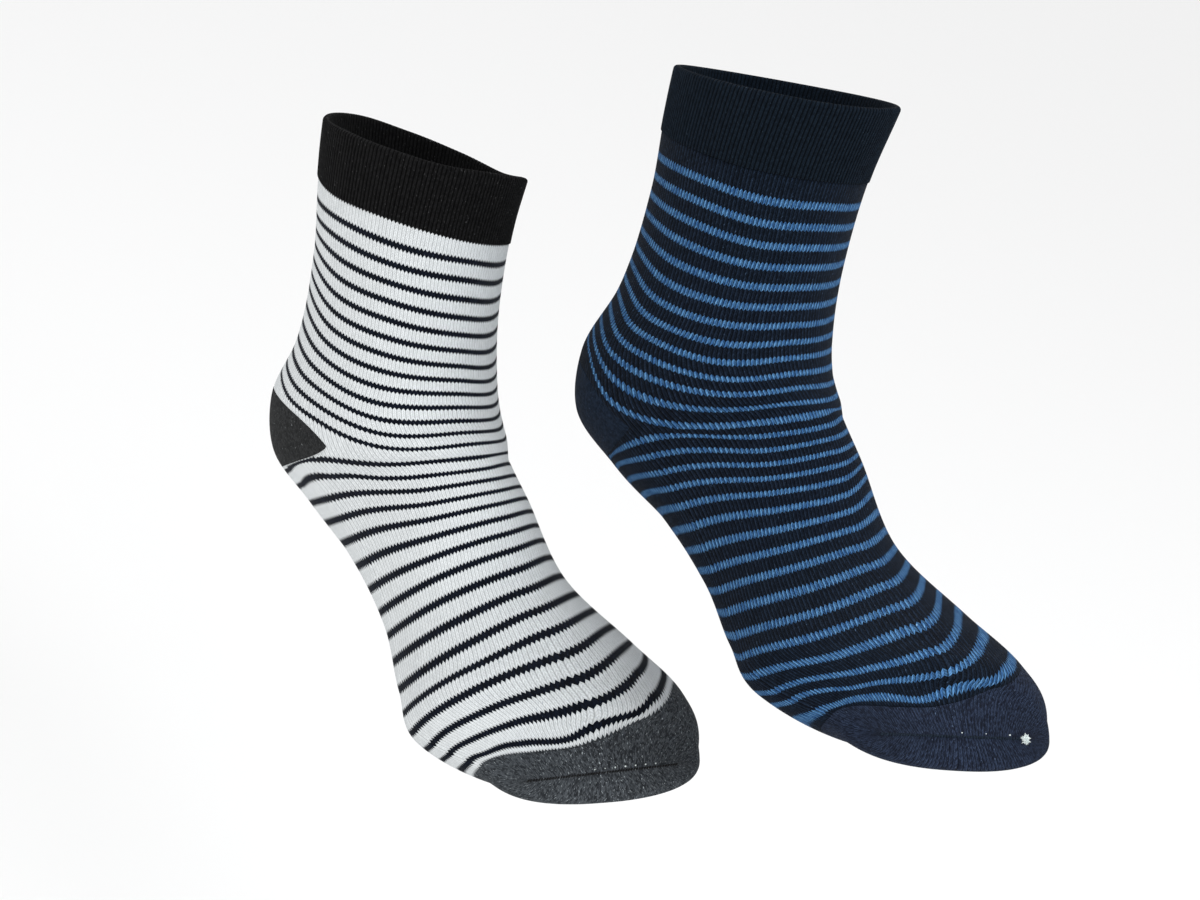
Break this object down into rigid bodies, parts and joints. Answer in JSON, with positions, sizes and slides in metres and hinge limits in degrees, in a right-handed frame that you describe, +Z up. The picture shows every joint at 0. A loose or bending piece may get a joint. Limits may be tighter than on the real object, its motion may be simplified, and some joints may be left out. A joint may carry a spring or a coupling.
{
  "type": "pair of crew socks",
  "caption": "Pair of crew socks, hollow and filled out as if worn: pale with dark stripes, and navy with blue stripes, with ribbed cuffs, heel pockets and toe caps.",
  "frame": {"origin": "midway between the two cuff openings, where the pair is held", "axes": "+Z up the legs, -Y towards the toes, +X towards the inner side of the foot"},
  "size_m": [0.179, 0.3689, 0.2684],
  "materials": {
    "charcoal_rib": "matte ribbed knit, near-black heather",
    "pale_striped_knit": "matte fine jersey knit, cool white with dark blue-black stripes",
    "charcoal_marl": "matte charcoal marl knit with pale flecks",
    "navy_rib": "matte ribbed knit, dark navy",
    "navy_striped_knit": "matte fine jersey knit, dark navy with mid-blue stripes",
    "navy_knit": "matte fine jersey knit, plain dark navy"
  },
  "bodies": {
    "root": {"white_cuff": "charcoal_rib", "white_body": "pale_striped_knit", "white_heel": "charcoal_marl", "white_toe": "charcoal_marl", "navy_cuff": "navy_rib", "navy_body": "navy_striped_knit", "navy_heel": "navy_knit", "navy_toe": "navy_knit"}
  },
  "joints": []
}
